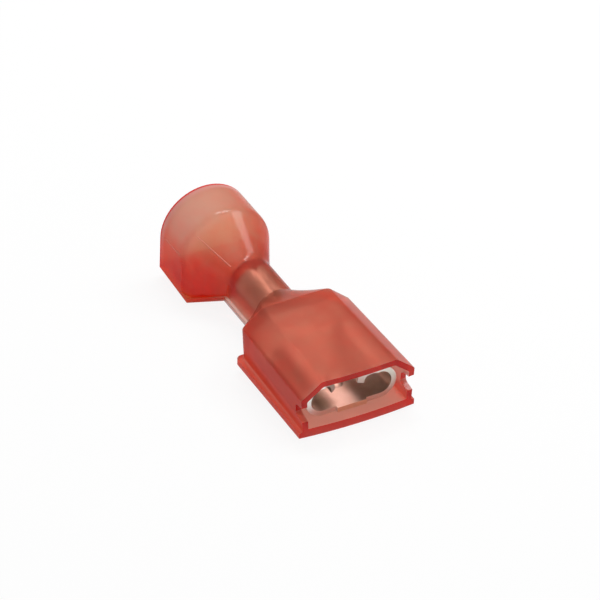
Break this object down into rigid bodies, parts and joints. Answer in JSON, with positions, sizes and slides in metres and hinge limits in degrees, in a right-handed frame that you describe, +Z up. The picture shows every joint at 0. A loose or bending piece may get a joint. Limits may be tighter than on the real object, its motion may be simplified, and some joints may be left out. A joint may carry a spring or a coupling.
{
  "type": "female spade terminal",
  "caption": "Fully insulated female spade terminal: a rolled receptacle for a flat blade and a wire barrel, inside a translucent nylon housing with a flared wire entry.",
  "frame": {"origin": "centre of the bounding box's bottom, level with the foot of the flared wire entry", "axes": "+Y along the wire axis from the blade's mouth to the wire entry, +Z up from the flat base to the roof, +X across"},
  "size_m": [0.0094, 0.025, 0.0068],
  "materials": {
    "nylon": "translucent red, semi-gloss",
    "tinned_brass": "tin plated, bright"
  },
  "bodies": {
    "root": {"housing": "nylon", "terminal": "tinned_brass"}
  },
  "joints": []
}
